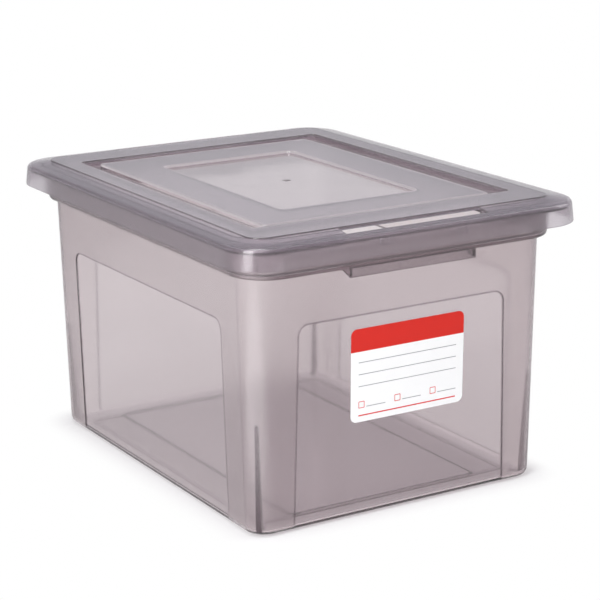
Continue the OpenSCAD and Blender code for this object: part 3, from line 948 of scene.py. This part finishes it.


# Close to the foot the painted white is cut back, so that the real shadow shows there.
contact = foot_mask(contact_reach, 0.03, 0.038)
# Seen through the box, the painted white is cut back under and near the box, where its real shade then
# shows.
under = maths(tree, "MULTIPLY", foot_mask(under_reach, 0.02, 0.03), under_shade)
near = maths(tree, "MULTIPLY", foot_mask(near_reach, 0.2, 0.5), near_shade)
unshaded = maths(tree, "SUBTRACT", 1, maths(tree, "ADD", under, near))
off_lane, down_lane = [
    node_in(tree, "ShaderNodeVectorMath", {0: place, 1: axis}, operation="DOT_PRODUCT").outputs["Value"]
    for axis in (lane_across, lane_along)
]
# A painted bright lane: seen through the box, the table keeps its full glow down this lane.
from_lane_middle = maths(tree, "SUBTRACT", down_lane, lane_middle)
lane = rounded_mask(tree, off_lane, from_lane_middle, lane_half, lane_length, 0.1, 0.4)
lit = maths(tree, "MULTIPLY_ADD", lane, lane_light, 1 - lane_light)
open_table = maths(tree, "MULTIPLY_ADD", contact, -contact_shade, 1)
seen_directly = maths(tree, "MULTIPLY", rays(tree, "Is Camera Ray"), open_table)
seen_in_box = maths(
    tree, "MULTIPLY", rays(tree, "Is Glossy Ray", "Is Transmission Ray"),
    maths(tree, "MULTIPLY", unshaded, lit),
)

# Painted highlights: seen in reflections, two patches of the table glow brighter and light up the box's
# front corner and front skirt.
on_corner = maths(tree, "MULTIPLY", patch_mask(corner_patch, 0.28, 0.28, 0.28, 0.3), corner_gleam)
on_skirt = maths(tree, "MULTIPLY", patch_mask(skirt_patch, 1.3, 1.2, 0.5, 0.6), skirt_gleam)
gleam = maths(tree, "ADD", on_corner, on_skirt)
reflected = maths(tree, "SUBTRACT", rays(tree, "Is Glossy Ray"), rays(tree, "Is Transmission Ray"))
strength = maths(tree, "MULTIPLY_ADD", gleam, maths(tree, "MAXIMUM", reflected, 0), 1)
glow = node_in(tree, "ShaderNodeEmission", {"Strength": strength})
mix = node_in(tree, "ShaderNodeMixShader", {
    0: maths(tree, "MAXIMUM", seen_directly, seen_in_box), 1: shader.outputs[0], 2: glow.outputs[0],
})
below = node_in(tree, "ShaderNodeNewGeometry").outputs["Backfacing"]
clear = node_in(tree, "ShaderNodeBsdfTransparent")
one_sided = node_in(tree, "ShaderNodeMixShader", {0: below, 1: mix.outputs[0], 2: clear.outputs[0]})
tree.links.new(one_sided.outputs[0], tree.nodes["Material Output"].inputs["Surface"])
floor.data.materials.append(white)

# ---------------------------------------------------------------------------
# Studio light
# A pale studio, brightest at table height down the lane and darker to the sides and overhead, so that
# bends in the clear plastic show dark edges. Three soft rectangular lamps light the box, and none of
# them shows through it.
# ---------------------------------------------------------------------------
level_on_box, level_overhead, level_aside = 0.85, 0.62, 0.3

world = bpy.data.worlds.new("studio")
bpy.context.scene.world = world
world.use_nodes = True
tree = world.node_tree
seen = rays(tree, "Is Camera Ray", "Is Glossy Ray", "Is Transmission Ray")
level = map_range(tree, seen, 0, 1, level_on_box, 1.0)
sky = node_in(tree, "ShaderNodeTexCoord").outputs["Generated"]
height = node_in(tree, "ShaderNodeSeparateXYZ", {0: sky}).outputs["Z"]
fall = map_range(tree, height, 0.02, 0.28, 1.0, level_overhead)
facing = node_in(tree, "ShaderNodeVectorMath", {0: sky, 1: lane_along}, operation="DOT_PRODUCT")
side = map_range(tree, facing.outputs["Value"], 0.3, 0.9, level_aside, 1.0)
high = map_range(tree, height, 0.0, 0.4, 0, 1)
air = blend(tree, high, (1, 1, 1), (0.9, 0.9, 1))
backdrop = node_in(tree, "ShaderNodeVectorMath", {
    0: air, "Scale": maths(tree, "MULTIPLY", fall, side),
}, operation="SCALE")
background = tree.nodes["Background"]
tree.links.new(level, background.inputs["Strength"])
tree.links.new(backdrop.outputs[0], background.inputs["Color"])


def softbox(name, place, size, power):
    """A soft rectangular lamp, aimed at the middle of the box, that doesn't show through the plastic."""
    lamp = bpy.data.lights.new(name, "AREA")
    lamp.shape = "RECTANGLE"
    lamp.size, lamp.size_y = size
    lamp.energy = power
    holder = bpy.data.objects.new(name, lamp)
    bpy.context.scene.collection.objects.link(holder)
    holder.location = place
    aim = Vector((0, 0, 0.12)) - holder.location
    holder.rotation_euler = aim.to_track_quat("-Z", "Y").to_euler()
    holder.visible_transmission = False


softbox("key", (-1.5, -0.95, 0.85), (0.7, 1.4), 34)
softbox("overhead", (-0.3, -0.3, 1.5), (0.45, 0.45), 9)
softbox("fill", (1.4, -0.6, 1.2), (1.0, 1.0), 10)

# ---------------------------------------------------------------------------
# Camera
# It stands where the photograph was taken from. Its place, turn and lens come from fitting the box's
# edges to the picture.
# ---------------------------------------------------------------------------
eye = Vector((-0.93876, -1.58781, 0.65332))
right = Vector((0.85605, -0.51679, -0.01071))
up = Vector((0.14512, 0.22041, 0.96455))
ahead = Vector((0.49611, 0.82725, -0.26368))
camera = bpy.data.objects.new("camera", bpy.data.cameras.new("camera"))
bpy.context.scene.collection.objects.link(camera)
camera.data.sensor_width = 36
camera.data.lens = 118.53
camera.data.clip_end = 50
turn = Matrix((right, up, -ahead)).transposed()
camera.matrix_world = Matrix.Translation(eye) @ turn.to_4x4()
bpy.context.scene.camera = camera
bpy.context.scene.view_settings.view_transform = "Standard"
bpy.context.scene.cycles.transparent_max_bounces = 32
